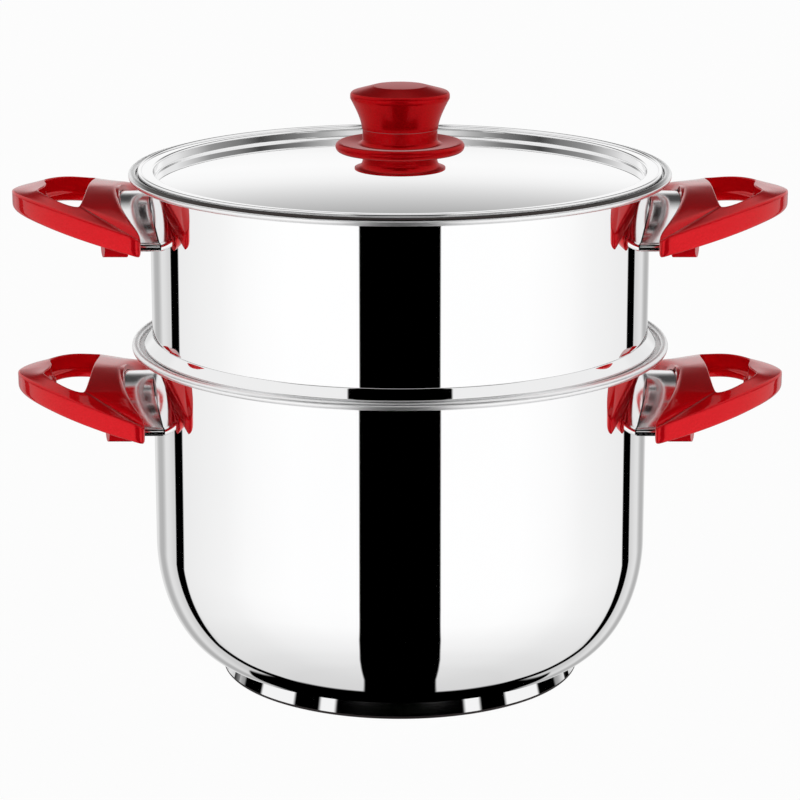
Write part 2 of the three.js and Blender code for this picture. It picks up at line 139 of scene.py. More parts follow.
BRIDGE_DEPTH = BRIDGE_CROWN - RIDGE_HEEL + WALL_IN_HOLE
TIP_TURN = 5 * math.pi / 8
TIP_SPAN = 0.24

# Rounds of the smooth meshes, where the solids have an edge or a bevel

CROWN_FLAT_ROUND = 1.5
EDGE_ROUND = 1.2
RIDGE_ROUND = 0.9
POT_SIDE_ROUND = 4.5
FOOT_ROUND = 2.6
ROUND_SHARE = 0.4  # most of a side that one round may take

# Heights and places that follow

POT_BOTTOM = CAP_HEIGHT + CLEARANCE
SEAT = POT_HEIGHT - RIM_ROUND + SHEET / 2 + CLEARANCE
STEAMER_TOP = SEAT + STEAMER_HEIGHT
LID_EDGE = STEAMER_TOP - RIM_ROUND + SHEET / 2 + CLEARANCE + LID_ROUND
LID_RIM_UNDERSIDE = LID_EDGE - SHEET / 2
GUTTER_UNDERSIDE = LID_RIM_UNDERSIDE - GUTTER_DEPTH
DOME_UNDERSIDE = GUTTER_UNDERSIDE + DOME_RISE
FOOT = DOME_UNDERSIDE + SHEET + CLEARANCE
GRIP_NEAR = WALL_RADIUS + GRIP_GAP
TIP_PLACE = GRIP_NEAR - LEG_REACH
BRACKET_END = GRIP_NEAR + BRACKET_TONGUE
SLEEVE_END = GRIP_NEAR + SLEEVE_LENGTH
HOLE_NEAR = GRIP_NEAR + BRIDGE_WIDTH
HOLE_WIDE = HOLE_NEAR + HEEL_RUN
HOLE_FAR = HOLE_WIDE + HOLE_TAPER
GRIP_REACH = HOLE_FAR + NOSE_WIDTH

# How finely the smooth meshes are cut

AROUND = 192
AROUND_KNOB = 128
FILLET_STEPS = 10
ROLL_STEPS = 28
CORNER_STEPS = 48
BEND_STEPS = 24
DOME_STEPS = 24
STEAM_HOLE_SIDES = 24
ARCH_STEPS = 60
HEM_STEPS = 24
GRIP_STATIONS = 288
ROUND_STEPS = 6
SIDE_STEPS = 3
HOLD = 0.3  # from a round to the point that holds the straight beside it, in millimetres
ON_AXIS = 1e-6  # profile points nearer the axis than this lie on it, in millimetres
WELD = 1e-7  # vertices nearer than this become one, in metres
SHARP_ANGLE = math.radians(32)

# Steps of the rolled edges that have painted shade: near-black steel under the lid's edge, and a darker
# front on the steamer's rim

LID_PAINTED_SHADE_STEPS = 12
RIM_SHADE_FROM = 16
RIM_SHADE_TO = 25

# Steel and lacquer

STREAKS = 60.0  # how much finer the polishing lines are along Z than around it
POLISH_DEPTH = 0.0001
FLAKE_DEPTH = 0.00005
FRONT_SHADE_STARTS = -0.02  # Y at which the painted shade on the steel's front starts, in metres
FRONT_SHADE_FULL = -0.06

# Camera, floor and room

CAMERA_PLACE = (0.0, -1.400, 0.496)
CAMERA_PITCH = 0.253
FOCAL_PIXELS = 2930.0
IMAGE_WIDTH = 800
SENSOR = 36.0
CLIP_END = 20.0
FLOOR_RADIUS = 3.0
FLOOR_SIDES = 96
FLOOR_GLOW = 0.96  # share of plain white in the floor that the camera sees
SHINE = 1.06  # strength of the room in shiny surfaces
FRAME_YAW = math.radians(3.2)  # turn of the panels behind
HORIZON_SHIFT = 20  # degrees that keep the horizon's heights above 0
LINE_EDGE = 0.003  # softness of the dark shapes behind, in half turns
LIMIT_EDGE = 0.008
WEDGE_EDGE = 0.006
DEGREE = math.radians(1)
DEGREE_IN_HALF_TURNS = 1 / 180


# Profiles in (radius, height)

def on_bend(start, pull, end, t):
    """A point on the curve that leaves start towards pull and reaches end from it."""
    return start * (1 - t) ** 2 + pull * (2 * t * (1 - t)) + end * t ** 2


def bend(start, pull, end):
    return [on_bend(start, pull, end, i / BEND_STEPS) for i in range(BEND_STEPS + 1)]


def arc(centre, radius, start, end, steps):
    points = []
    for i in range(steps + 1):
        angle = start + (end - start) * i / steps
        points.append(Vector((centre[0] + radius * math.cos(angle), centre[1] + radius * math.sin(angle))))
    return points


def fillet_path(corners):
    """Straight lines between corners (radius, height, fillet), each fillet held by close points."""
    points = []
    for i, corner in enumerate(corners):
        here = Vector(corner[:2])
        if len(corner) < 3:
            points.append(here)
            continue
        before = Vector(corners[i - 1][:2]) - here
        after = Vector(corners[i + 1][:2]) - here
        half = before.angle(after) / 2
        longest = min(before.length, after.length) / 2
        setback = min(corner[2] / math.tan(half), longest)
        before.normalize()
        after.normalize()
        bisector = (before + after).normalized()
        radius = setback * math.tan(half)
        centre = here + bisector * (setback / math.cos(half))
        start = here + before * setback - centre
        sweep = math.pi - 2 * half
        if before.x * after.y - before.y * after.x > 0:
            sweep = -sweep
        if setback + 2 * HOLD < longest:
            points.append(here + before * (setback + HOLD))
        for k in range(FILLET_STEPS + 1):
            turn = sweep * k / FILLET_STEPS
            cosine, sine = math.cos(turn), math.sin(turn)
            spoke = Vector((start.x * cosine - start.y * sine, start.x * sine + start.y * cosine))
            points.append(centre + spoke.normalized() * radius)
        if setback + 2 * HOLD < longest:
            points.append(here + after * (setback + HOLD))
    return points


def offset_path(path, distance):
    """The path moved to its left."""
    moved = []
    for i, here in enumerate(path):
        into = (here - path[max(i - 1, 0)]).normalized()
        out = (path[min(i + 1, len(path) - 1)] - here).normalized()
        along = (into + out).normalized()
        normal = Vector((-along.y, along.x))
        straight = out if i == 0 else into
        stretch = normal.dot(Vector((-straight.y, straight.x)))
        moved.append(here + normal * (distance / stretch))
    return moved


def rolled_sheet(underside, centre, radius):
    """Closed outline: under side, rolled edge, upper side. Also returns the index where the edge starts."""
    dip = math.asin(SHEET / 2 / radius)
    roll = arc(centre, radius, dip - math.pi, math.pi - dip, ROLL_STEPS)
    upper = offset_path(underside, SHEET)
    upper.reverse()
    return underside + roll + upper, len(underside)


def rim_corners(top):
    flange = top - RIM_ROUND - SHEET / 2
    return [(WALL_RADIUS, flange, RIM_FILLET), (WALL_RADIUS + RIM_REACH - 2 * RIM_ROUND - SHEET, flange)]


def roll_centre(top):
    return (WALL_RADIUS + RIM_REACH - RIM_ROUND, top - RIM_ROUND)


# Meshes

def finish_mesh(mesh):
    """Faces turned outwards, smooth shading, and sharp edges kept where the surface breaks."""
    shape = bmesh.new()
    shape.from_mesh(mesh)
    bmesh.ops.remove_doubles(shape, verts=shape.verts, dist=WELD)
    bmesh.ops.recalc_face_normals(shape, faces=shape.faces)
    shape.to_mesh(mesh)
    shape.free()
    for polygon in mesh.polygons:
        polygon.use_smooth = True
    mesh.set_sharp_from_angle(angle=SHARP_ANGLE)
    return mesh


def lathe(name, profile, around, height=0.0, changes=()):
    """A closed body of revolution about Z. Changes (profile point, material), in order, set materials."""
    closed = profile[0].x > ON_AXIS
    rings = []
    vertices = []
    for point in profile:
        if point.x < ON_AXIS:
            rings.append([len(vertices)] * around)
            vertices.append((0.0, 0.0, (point.y + height) * MM))
            continue
        rings.append(list(range(len(vertices), len(vertices) + around)))
        for i in range(around):
            angle = 2 * math.pi * i / around
            vertices.append((
                point.x * math.sin(angle) * MM,
                -point.x * math.cos(angle) * MM,
                (point.y + height) * MM,
            ))
    faces = []
    slots = []
    pairs = len(rings) if closed else len(rings) - 1
    for k in range(pairs):
        lower, upper = rings[k], rings[(k + 1) % len(rings)]
        slot = 0
        for first, material in changes:
            if k >= first:
                slot = material
        slots += [slot] * around
        for i in range(around):
            j = (i + 1) % around
            corners = [lower[i], lower[j], upper[j], upper[i]]
            faces.append(list(dict.fromkeys(corners)))
    mesh = bpy.data.meshes.new(name)
    mesh.from_pydata(vertices, [], faces)
    mesh.polygons.foreach_set("material_index", slots)
    return finish_mesh(mesh)


def add_piece(name, mesh, materials, body, nodes, place=None):
    """Links a visible piece to its body and the solids that it stands for."""
    piece = bpy.data.objects.new(name, mesh)
    bpy.context.scene.collection.objects.link(piece)
    if place is not None:
        piece.matrix_world = place
    if not mesh.materials:
        for material in materials:
            mesh.materials.append(material)
    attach(piece, body)
    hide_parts(*nodes)
    return piece


def boolean(target, tool, operation):
    """The boolean of two meshes, as a new mesh."""
    base = bpy.data.objects.new("boolean_base", target)
    other = bpy.data.objects.new("boolean_tool", tool)
    for item in (base, other):
        bpy.context.scene.collection.objects.link(item)
    step = base.modifiers.new("cut", "BOOLEAN")
    step.object = other
    step.operation = operation
    step.solver = "EXACT"
    bpy.context.view_layer.update()
    graph = bpy.context.evaluated_depsgraph_get()
    result = bpy.data.meshes.new_from_object(base.evaluated_get(graph))
    for item in (base, other):
        bpy.data.objects.remove(item)
    return result


def steam_holes(bottom):
    """Rings of round posts through the steamer's bottom."""
    shape = bmesh.new()
    for ring in range(HOLE_RINGS + 1):
        count = max(1, HOLES_IN_RING * ring)
        for i in range(count):
            angle = 2 * math.pi * i / count
            place = Matrix.Translation((
                ring * HOLE_PITCH * math.cos(angle) * MM,
                ring * HOLE_PITCH * math.sin(angle) * MM,
                (bottom + SHEET / 2) * MM,
            ))
            bmesh.ops.create_cone(
                shape, cap_ends=True, segments=STEAM_HOLE_SIDES, radius1=HOLE_RADIUS * MM,
                radius2=HOLE_RADIUS * MM, depth=3 * SHEET * MM, matrix=place,
            )
    mesh = bpy.data.meshes.new("steam_holes")
    shape.to_mesh(mesh)
    shape.free()
    return mesh


def keep_out_of_reflections(*pieces):
    for piece in pieces:
        piece.visible_glossy = False


def dress(node, material):
    """Gives a solid that stays in the scene its material."""
    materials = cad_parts[node].data.materials
    materials.clear()
    materials.append(material)


# Node helpers

class Nodes:
    def __init__(self, tree):
        self.tree = tree
        tree.nodes.clear()

    def add(self, kind, **settings):
        node = self.tree.nodes.new(kind)
        for key, value in settings.items():
            setattr(node, key, value)
        return node

    def put(self, value, socket):
        if isinstance(value, bpy.types.NodeSocket):
            self.tree.links.new(value, socket)
        else:
            socket.default_value = value

    def math(self, operation, *values):
        node = self.add("ShaderNodeMath", operation=operation)
        for i, value in enumerate(values):
            self.put(value, node.inputs[i])
        return node.outputs[0]

    def smooth(self, value, start, end):
        """0 before start, 1 after end, eased between them. Start may be above end."""
        node = self.add("ShaderNodeMapRange", interpolation_type="SMOOTHSTEP")
        low, high = min(start, end), max(start, end)
        self.put(value, node.inputs["Value"])
        node.inputs["From Min"].default_value = low
        node.inputs["From Max"].default_value = high
        node.inputs["To Min"].default_value = 0.0 if start < end else 1.0
        node.inputs["To Max"].default_value = 1.0 if start < end else 0.0
        return node.outputs["Result"]

    def fade(self, angle, start, end):
        """The same for an angle, with start and end in degrees."""
        return self.smooth(angle, math.radians(start), math.radians(end))

    def curve(self, value, points):
        """A line through points (value, result)."""
        low, high = points[0][0], points[-1][0]
        span = self.add("ShaderNodeMapRange")
        self.put(value, span.inputs["Value"])
        span.inputs["From Min"].default_value = low
        span.inputs["From Max"].default_value = high
        ramp = self.add("ShaderNodeValToRGB")
        self.put(span.outputs["Result"], ramp.inputs["Fac"])
        stops = ramp.color_ramp.elements
        for i, (at, level) in enumerate(points):
            place = (at - low) / (high - low)
            if i == 0:
                stop = stops[0]
            elif i == len(points) - 1:
                stop = stops[len(stops) - 1]
            else:
                stop = stops.new(place)
            stop.position = place
            stop.color = (level, level, level, 1.0)
        return ramp.outputs["Color"]

    def by_angle(self, angle, points, unit=1.0):
        """A line through points (degrees, result), with the results in the unit given."""
        return self.curve(angle, [(math.radians(at), level * unit) for at, level in points])

    def mix(self, factor, a, b):
        node = self.add("ShaderNodeMix", data_type="FLOAT")
        self.put(factor, node.inputs[0])
        self.put(a, node.inputs[2])
        self.put(b, node.inputs[3])
        return node.outputs[0]

    def colour_mix(self, factor, a, b):
        node = self.add("ShaderNodeMix", data_type="RGBA")
        self.put(factor, node.inputs[0])
        self.put(a, node.inputs[6])
        self.put(b, node.inputs[7])
        return node.outputs[2]

    def shader_mix(self, factor, a, b):
        node = self.add("ShaderNodeMixShader")
        for i, value in enumerate((factor, a, b)):
            self.put(value, node.inputs[i])
        return node.outputs[0]

    def noise(self, place, scale, detail):
        node = self.add("ShaderNodeTexNoise")
        node.inputs["Scale"].default_value = scale
        node.inputs["Detail"].default_value = detail
        self.put(place, node.inputs["Vector"])
        return node.outputs["Fac"]

    def bump(self, height, strength, distance):
        node = self.add("ShaderNodeBump")
        node.inputs["Strength"].default_value = strength
        node.inputs["Distance"].default_value = distance
        self.put(height, node.inputs["Height"])
        return node.outputs[0]

    def background(self, colour, strength=1.0):
        node = self.add("ShaderNodeBackground")
        node.inputs["Strength"].default_value = strength
        self.put(colour, node.inputs["Color"])
        return node.outputs[0]


def new_material(name):
    material = bpy.data.materials.new(name)
    material.use_nodes = True
    graph = Nodes(material.node_tree)
    output = graph.add("ShaderNodeOutputMaterial")
    shader = graph.add("ShaderNodeBsdfPrincipled")
    graph.put(shader.outputs[0], output.inputs["Surface"])
    return material, graph, shader


# Materials

def steel(name, roughness, variation, relief, front=None):
    """Polished steel with fine polishing lines around the piece, and a darker front of painted shade if one
    is given.
    """
    material, graph, shader = new_material(name)
    place = graph.add("ShaderNodeTexCoord").outputs["Object"]
    squash = graph.add("ShaderNodeMapping")
    squash.inputs["Scale"].default_value = (1.0, 1.0, STREAKS)
    graph.put(place, squash.inputs["Vector"])
    lines = graph.noise(squash.outputs[0], 40.0, 4.0)
    cloud = graph.noise(place, 9.0, 2.0)
    tint = graph.colour_mix(cloud, (0.925, 0.925, 0.93, 1.0), (0.955, 0.955, 0.955, 1.0))
    # Towards -Y the colour turns dark: painted shade and painted dark reflection of the gap under the lid's
    # edge.
    if front is not None:
        split = graph.add("ShaderNodeSeparateXYZ")
        graph.put(place, split.inputs[0])
        tint = graph.colour_mix(graph.smooth(split.outputs["Y"], FRONT_SHADE_STARTS, FRONT_SHADE_FULL), tint, front)
    shader.inputs["Metallic"].default_value = 1.0
    graph.put(tint, shader.inputs["Base Color"])
    graph.put(graph.math("MULTIPLY_ADD", lines, variation, roughness), shader.inputs["Roughness"])
    graph.put(graph.bump(lines, relief, POLISH_DEPTH), shader.inputs["Normal"])
    return material


def red_lacquer(name, dark, pale, coat):
    """Red plastic with fine metal flake under a gloss coat."""
    material, graph, shader = new_material(name)
    place = graph.add("ShaderNodeTexCoord").outputs["Object"]
    flake = graph.add("ShaderNodeTexVoronoi")
    flake.inputs["Scale"].default_value = 2200.0
    graph.put(place, flake.inputs["Vector"])
    shade = graph.add("ShaderNodeSeparateColor")
    graph.put(flake.outputs["Color"], shade.inputs[0])
    sparkle = graph.math("MULTIPLY_ADD", graph.noise(place, 60.0, 3.0), 0.3, shade.outputs[0])
    graph.put(graph.colour_mix(graph.smooth(sparkle, 0.1, 1.2), dark, pale), shader.inputs["Base Color"])
    settings = {
        "Metallic": 0.5,
        "Roughness": 0.28,
        "Specular IOR Level": 0.05,
        "Specular Tint": (0.8, 0.03, 0.04, 1.0),
        "Coat Weight": coat,
        "Coat Roughness": 0.025,
        "Coat IOR": 1.25,
    }
    for socket, value in settings.items():
        shader.inputs[socket].default_value = value
    graph.put(graph.bump(shade.outputs[1], 0.05, FLAKE_DEPTH), shader.inputs["Normal"])
    return material


def plain_metal(name, dark, pale, roughness, scale):
    """Turned or pressed metal with a little tarnish, and the near-black steel that is painted shade."""
    material, graph, shader = new_material(name)
    place = graph.add("ShaderNodeTexCoord").outputs["Object"]
    cloud = graph.noise(place, scale, 5.0)
    shader.inputs["Metallic"].default_value = 1.0
    graph.put(graph.colour_mix(cloud, dark, pale), shader.inputs["Base Color"])
    graph.put(graph.math("MULTIPLY_ADD", cloud, 0.15, roughness), shader.inputs["Roughness"])
    return material


mirror_steel = steel("mirror_steel", 0.012, 0.02, 0.004)
satin_steel = steel("satin_steel", 0.24, 0.12, 0.08)
# Satin steel that turns near black towards the front: painted shade on the top of the steamer's rim.
painted_shade_front_steel = steel("painted_shade_front_steel", 0.24, 0.12, 0.08, front=(0.05, 0.042, 0.04, 1.0))
bracket_steel = steel("bracket_steel", 0.1, 0.1, 0.02)
# Near-black steel put where there is only shade: painted shade and painted dark reflections at the lid's
# rolled edge and at the base cap's rounded foot.
painted_shade_dark_steel = plain_metal("painted_shade_dark_steel", (0.03, 0.026, 0.026, 1), (0.06, 0.05, 0.05, 1), 0.4, 60.0)
grip_lacquer = red_lacquer("grip_lacquer", (0.70, 0.003, 0.008, 1.0), (0.80, 0.006, 0.014, 1.0), 1.0)
# The knob's red is the grips' red made darker, as painted shade for how the knob is lit; its coat is also
# thinner.
painted_shade_knob_lacquer = red_lacquer("painted_shade_knob_lacquer", (0.50, 0.001, 0.003, 1.0), (0.60, 0.002, 0.006, 1.0), 0.25)
# Very dark red with no coat: painted shade in the seam between the knob's two parts.
painted_shade_seam_plastic = red_lacquer("painted_shade_seam_plastic", (0.16, 0.001, 0.002, 1.0), (0.20, 0.001, 0.003, 1.0), 0.0)
core_metal = plain_metal("core_aluminium", (0.62, 0.63, 0.64, 1), (0.76, 0.77, 0.78, 1), 0.4, 30.0)
brass_metal = plain_metal("turned_brass", (0.52, 0.36, 0.12, 1), (0.70, 0.53, 0.25, 1), 0.3, 200.0)
zinc_metal = plain_metal("zinc_plated", (0.48, 0.50, 0.52, 1), (0.66, 0.68, 0.70, 1), 0.28, 300.0)

# Pot, base, steamer and lid

corner_start = WALL_RADIUS - CORNER_REACH
corner_top = POT_BOTTOM + CORNER_RISE
corner = [
    Vector((corner_start + CORNER_REACH * unit.x, corner_top + CORNER_RISE * unit.y))
    for unit in arc((0, 0), 1, -math.pi / 2, 0, CORNER_STEPS)
]
wall_start = [corner[-1].x, corner[-1].y + HOLD]
pot_underside = [Vector((0, POT_BOTTOM)), Vector((corner_start - HOLD, POT_BOTTOM))]
pot_underside += corner + fillet_path([wall_start] + rim_corners(POT_HEIGHT))
pot_outline, pot_rim = rolled_sheet(pot_underside, roll_centre(POT_HEIGHT), RIM_ROUND)
pot_mesh = lathe("pot", pot_outline, AROUND, changes=[(pot_rim, 1)])
add_piece("pot", pot_mesh, [mirror_steel, satin_steel], "pot", ["pot_body"])

cap_outside = fillet_path([(0, 0), (CAP_RADIUS, 0, CAP_FILLET), (CAP_RADIUS - CAP_TAPER, CAP_HEIGHT)])
cap_inside = offset_path(cap_outside, SHEET)
cap_inside.reverse()
# The base cap's rounded foot takes the near-black steel: a painted contact shadow by the floor.
cap_changes = [(1, 1), (len(cap_outside) - 2, 0)]
cap_mesh = lathe("base", cap_outside + cap_inside, AROUND, changes=cap_changes)
base = add_piece("base", cap_mesh, [mirror_steel, painted_shade_dark_steel], "pot", ["base_cap"])
keep_out_of_reflections(base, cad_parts["base_core"])

spigot_radius = WALL_RADIUS - SHEET - SPIGOT_GAP
spigot_bottom = SEAT - SPIGOT_DEPTH
shoulder_radius = WALL_RADIUS + RIM_REACH - 2 * RIM_ROUND - SHOULDER_GAP
steamer_underside = fillet_path([
    (0, spigot_bottom),
    (spigot_radius, spigot_bottom, SPIGOT_FILLET),
    (spigot_radius, SEAT, SHOULDER_FILLET),
    (shoulder_radius, SEAT, SHOULDER_FILLET),
    (shoulder_radius, SEAT + SHOULDER_LIP, SHOULDER_FILLET),
    (WALL_RADIUS, SEAT + SHOULDER_HEIGHT, SHOULDER_FILLET),
] + rim_corners(STEAMER_TOP))
steamer_outline, steamer_rim = rolled_sheet(steamer_underside, roll_centre(STEAMER_TOP), RIM_ROUND)
# The upper side of the steamer's rolled rim takes the steel with the painted shade at the front.
rim_changes = [(steamer_rim, 1), (steamer_rim + RIM_SHADE_FROM, 2), (steamer_rim + RIM_SHADE_TO, 1)]
steamer_mesh = lathe("steamer", steamer_outline, AROUND, changes=rim_changes)
for material in (mirror_steel, satin_steel, painted_shade_front_steel):
    steamer_mesh.materials.append(material)
steamer_mesh = boolean(steamer_mesh, steam_holes(spigot_bottom), "DIFFERENCE")
finish_mesh(steamer_mesh)
add_piece("steamer", steamer_mesh, [], "steamer", ["steamer_body"])

lid_radius = WALL_RADIUS + RIM_REACH - 2 * RIM_ROUND - LID_GAP
step_top = lid_radius - LID_RIM_WIDTH
gutter_radius = step_top - LID_STEP_RUN
dome_radius = (gutter_radius ** 2 + DOME_RISE ** 2) / (2 * DOME_RISE)
dome = []
for i in range(DOME_STEPS):
    radius = LID_BORE + (gutter_radius - LID_BORE) * i / DOME_STEPS
    dome.append(Vector((radius, DOME_UNDERSIDE - dome_radius + math.sqrt(dome_radius ** 2 - radius ** 2))))
lid_step = fillet_path([
    (dome[-1].x, dome[-1].y),
    (gutter_radius, GUTTER_UNDERSIDE, GUTTER_FILLET),
    (step_top, LID_RIM_UNDERSIDE, LID_STEP_FILLET),
    (lid_radius - 2 * LID_ROUND - SHEET, LID_RIM_UNDERSIDE),
])
lid_outline, lid_edge = rolled_sheet(dome + lid_step[1:], (lid_radius - LID_ROUND, LID_EDGE), LID_ROUND)
# The underside and outer lower side of the lid's rolled edge take the near-black steel: painted shade for
# the gap over the steamer's rim.
lid_changes = [(lid_edge, 1), (lid_edge + LID_PAINTED_SHADE_STEPS, 0)]
lid_mesh = lathe("lid", lid_outline, AROUND, changes=lid_changes)
add_piece("lid", lid_mesh, [mirror_steel, painted_shade_dark_steel], "lid", ["lid_shell"])

# Knob

knob_bore = INSERT_RADIUS + CLEARANCE
saucer_top = SAUCER_UNDERSIDE + SAUCER_THICKNESS
saucer_rim = SAUCER_THICKNESS / 2
flare_end = Vector((NECK_RADIUS, FOOT_EDGE + FOOT_FLARE))
foot_flare = bend(Vector((FOOT_RADIUS, FOOT_EDGE)), Vector((NECK_RADIUS, 2 * FOOT_EDGE)), flare_end)
saucer = fillet_path([
    (flare_end.x, flare_end.y),
    (NECK_RADIUS, SAUCER_UNDERSIDE, saucer_rim),
    (SAUCER_RADIUS, SAUCER_UNDERSIDE, saucer_rim),
    (SAUCER_RADIUS, saucer_top, saucer_rim),
    (NECK_RADIUS, saucer_top - SAUCER_DISH, saucer_rim),
    (NECK_RADIUS, SEAM_HEIGHT),
    (knob_bore, SEAM_HEIGHT),
])
knob_base_outline = [Vector((knob_bore, 0)), Vector((FOOT_RADIUS, 0))] + foot_flare + saucer[1:]
# The seam's flat ring and the bore take the very dark red: painted shade in the seam.
seam_changes = [(len(knob_base_outline) - 2, 1)]
knob_base_mesh = lathe("knob_saucer", knob_base_outline, AROUND_KNOB, FOOT, seam_changes)
knob_skins = [painted_shade_knob_lacquer, painted_shade_seam_plastic]
knob_saucer = add_piece("knob_saucer", knob_base_mesh, knob_skins, "lid", ["knob_base"])

cap_bottom = SEAM_HEIGHT + CLEARANCE
waist = Vector((WAIST_RADIUS, cap_bottom))
waist_pull = Vector((WAIST_RADIUS, cap_bottom + FLANK_PULL * (CROWN_EDGE - cap_bottom)))
flank = bend(waist, waist_pull, Vector((CROWN_RADIUS, CROWN_EDGE)))
crown = fillet_path([
    (CROWN_RADIUS, CROWN_EDGE),
    (CROWN_RADIUS, CROWN_EDGE + CROWN_ROUND, CROWN_ROUND),
    (CROWN_FLAT_RADIUS, KNOB_HEIGHT - CROWN_FLAT_DROP, CROWN_FLAT_ROUND),
    (0, KNOB_HEIGHT),
])
knob_cap_outline = [
    Vector((0, INSERT_TOP + CLEARANCE)),
    Vector((knob_bore, INSERT_TOP + CLEARANCE)),
    Vector((knob_bore, cap_bottom)),
] + flank + crown[1:]
knob_cap_mesh = lathe("knob_top", knob_cap_outline, AROUND_KNOB, height=FOOT)
knob_top = add_piece("knob_top", knob_cap_mesh, [painted_shade_knob_lacquer], "lid", ["knob_cap"])
keep_out_of_reflections(knob_saucer, knob_top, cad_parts["knob_insert"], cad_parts["knob_screw"])


# Handles, in a frame with X outwards from the pot's axis and heights from the bracket's crown

def arch_outline(margin):
    """Outline (across, height) of the bracket's arch and hems, grown by a margin."""
    spread = math.asin(BRACKET_HALF / BRACKET_ARCH)
    hem_radius = BRACKET_HEM + margin
    mid = BRACKET_ARCH - BRACKET_SHEET / 2
    outer = BRACKET_ARCH + margin
    inner = BRACKET_ARCH - BRACKET_SHEET - margin

    def meeting(radius):
        return math.acos((mid ** 2 + radius ** 2 - hem_radius ** 2) / (2 * mid * radius))

    def on_arch(radius, angle):
        return Vector((radius * math.sin(angle), radius * math.cos(angle) - BRACKET_ARCH))

    points = []
    top = spread - meeting(outer)
    low = spread - meeting(inner)
    for i in range(ARCH_STEPS + 1):
        points.append(on_arch(outer, -top + 2 * top * i / ARCH_STEPS))
    for side, first, last in ((1, outer, inner), (-1, inner, outer)):
        centre = on_arch(mid, side * spread)
        begin = on_arch(first, side * (top if first == outer else low)) - centre
        finish = on_arch(last, side * (top if last == outer else low)) - centre
        start_angle = math.atan2(begin.y, begin.x)
        sweep = (math.atan2(finish.y, finish.x) - start_angle) % (2 * math.pi) - 2 * math.pi
        for i in range(1, HEM_STEPS):
            angle = start_angle + sweep * i / HEM_STEPS
            points.append(centre + Vector((math.cos(angle), math.sin(angle))) * hem_radius)
        if side == 1:
            for i in range(ARCH_STEPS + 1):
                points.append(on_arch(inner, low - 2 * low * i / ARCH_STEPS))
    return points


def arch_mesh(name, margin, start_radius, end_radius):
    """The arch outline swept outwards between two cylinders about the pot's axis."""
    outline = arch_outline(margin)
    count = len(outline)
    vertices = []
    for radius in (start_radius, end_radius):
        for point in outline:
            vertices.append((math.sqrt(radius ** 2 - point.x ** 2) * MM, point.x * MM, point.y * MM))
    faces = [[i, (i + 1) % count, count + (i + 1) % count, count + i] for i in range(count)]
    faces.append(list(range(count)))
    faces.append(list(range(count, 2 * count)))
    mesh = bpy.data.meshes.new(name)
    mesh.from_pydata(vertices, [], faces)
    return finish_mesh(mesh)


def hole_edge(turn):
    """Plan of the finger hole's rim by the angle around the loop: 0 at the nose, pi at the pot side."""
    to_nose = turn <= math.pi / 2
    roundness = 2 / (TAPER_POWER if to_nose else HEEL_POWER)
    run = HOLE_TAPER if to_nose else -HEEL_RUN
    along = HOLE_WIDE + run * abs(math.cos(turn)) ** roundness
    across = HOLE_HALF * abs(math.sin(turn)) ** roundness
    if to_nose and across < NOSE_BULGE_HALF:
        along -= NOSE_BULGE * (1 - (across / NOSE_BULGE_HALF) ** 2) ** 2
    return Vector((along, across))


def outer_edge(turn):
    """Plan of the outer edge: one curve from the nose to the tip of a leg, then the pot side."""
    if turn <= TIP_TURN:
        sweep = turn / TIP_TURN * math.pi / 2
        along = TIP_PLACE + (GRIP_REACH - TIP_PLACE) * math.cos(sweep) ** (2 / TAPER_POWER)
        return Vector((along, GRIP_TIP_HALF * math.sin(sweep) ** (2 / TAPER_POWER)))
    across = GRIP_TIP_HALF * (math.pi - turn) / (math.pi - TIP_TURN)
    return Vector((GRIP_NEAR - LEG_REACH * (across / GRIP_TIP_HALF) ** 2, across))


def rounded_edge(turn):
    """The outer edge with the tips of the legs rounded off."""
    if abs(turn - TIP_TURN) >= TIP_SPAN:
        return outer_edge(turn)
    t = (turn - TIP_TURN + TIP_SPAN) / (2 * TIP_SPAN)
    before, tip, after = (outer_edge(TIP_TURN + k * TIP_SPAN) for k in (-1, 0, 1))
    return on_bend(before, tip, after, t)


def grip_heights(turn, hole, edge):
    """Heights of the hole's rim, of the outer band's two edges and of the hole's foot."""
    to_nose = turn <= math.pi / 2
    ridge_end = RIDGE_NOSE if to_nose else RIDGE_HEEL
    ridge_power = RIDGE_NOSE_POWER if to_nose else RIDGE_HEEL_POWER
    ridge = ridge_end + (RIDGE_ARM - ridge_end) * (hole.y / HOLE_HALF) ** ridge_power
    if turn <= TIP_TURN:
        band_top = BAND_NOSE - LEG_DROOP * ((GRIP_REACH - edge.x) / (GRIP_REACH - TIP_PLACE)) ** DROOP_POWER
        band_foot = band_top - BAND_HEIGHT - BAND_SWELL * math.sin(turn / TIP_TURN * math.pi)
    else:
        spread = (edge.y / GRIP_TIP_HALF) ** 2
        band_top = BRIDGE_CROWN + (BAND_NOSE - LEG_DROOP - BRIDGE_CROWN) * spread
        band_foot = band_top - BRIDGE_DEPTH - (BAND_HEIGHT - BRIDGE_DEPTH) * spread
    return ridge, band_top, band_foot, ridge - WALL_IN_HOLE


def rounded_section(corners):
    """A polygon (x, y, fillet) with rounded corners and the same number of points whatever its size."""
    points = []
    count = len(corners)
    for i, (x, y, fillet) in enumerate(corners):
        here = Vector((x, y))
        before = Vector(corners[i - 1][:2]) - here
        after = Vector(corners[(i + 1) % count][:2]) - here
        setback = min(fillet, ROUND_SHARE * before.length, ROUND_SHARE * after.length)
        start = here + before.normalized() * setback
        end = here + after.normalized() * setback
        for k in range(ROUND_STEPS + 1):
            points.append(on_bend(start, here, end, k / ROUND_STEPS))
        following = corners[(i + 1) % count]
        target = Vector(following[:2])
        beyond = Vector(corners[(i + 2) % count][:2]) - target
        next_setback = min(following[2], ROUND_SHARE * after.length, ROUND_SHARE * beyond.length)
        stop = target + (here - target).normalized() * next_setback
        for k in range(1, SIDE_STEPS + 1):
            points.append(end.lerp(stop, k / (SIDE_STEPS + 1)))
    return points


